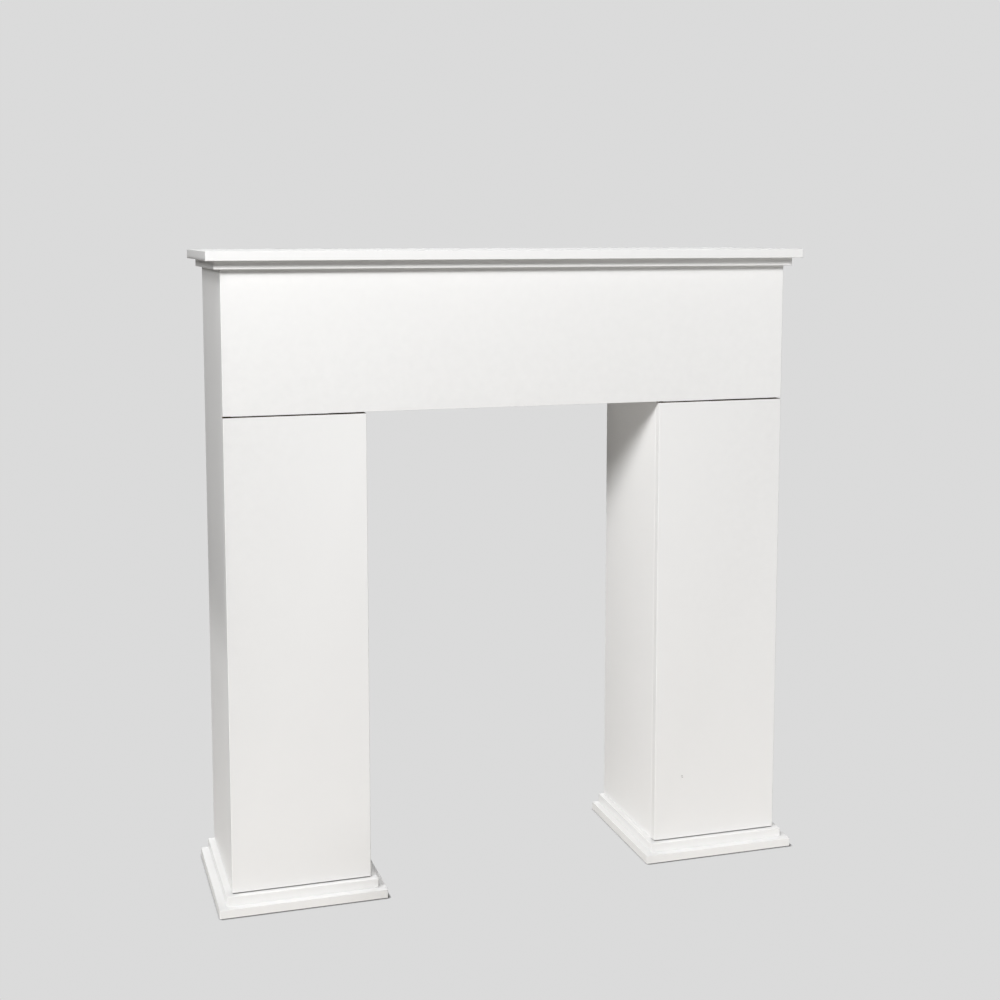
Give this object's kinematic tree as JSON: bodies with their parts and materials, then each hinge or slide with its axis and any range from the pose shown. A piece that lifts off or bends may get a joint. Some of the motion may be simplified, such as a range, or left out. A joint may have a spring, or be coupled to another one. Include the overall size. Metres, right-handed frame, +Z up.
{
  "type": "fireplace mantelpiece",
  "caption": "Freestanding fireplace surround of flat white boards: box columns on stepped plinths, a deep plain frieze over the opening and a stepped shelf on top.",
  "frame": {"origin": "bottom centre of the whole surround, on the floor", "axes": "+Z up, +X to the viewer's right along the width, -Y out of the front, +Y towards the wall"},
  "size_m": [0.953, 0.2546, 1],
  "materials": {
    "shelf_boards": "chipboard faced and edged in satin white foil",
    "body_boards": "chipboard faced and edged in satin white foil, raw on the hidden back edges",
    "plinth_boards": "chipboard faced and edged in satin white foil"
  },
  "bodies": {
    "root": {"shelf": "shelf_boards", "shelf_underboard": "shelf_boards", "frieze_front": "body_boards", "opening_soffit": "body_boards", "left_column_front": "body_boards", "left_column_outer_side": "body_boards", "left_column_inner_side": "body_boards", "right_column_front": "body_boards", "right_column_outer_side": "body_boards", "right_column_inner_side": "body_boards", "left_plinth_upper_plate": "plinth_boards", "left_plinth_lower_plate": "plinth_boards", "right_plinth_upper_plate": "plinth_boards", "right_plinth_lower_plate": "plinth_boards"}
  },
  "joints": []
}
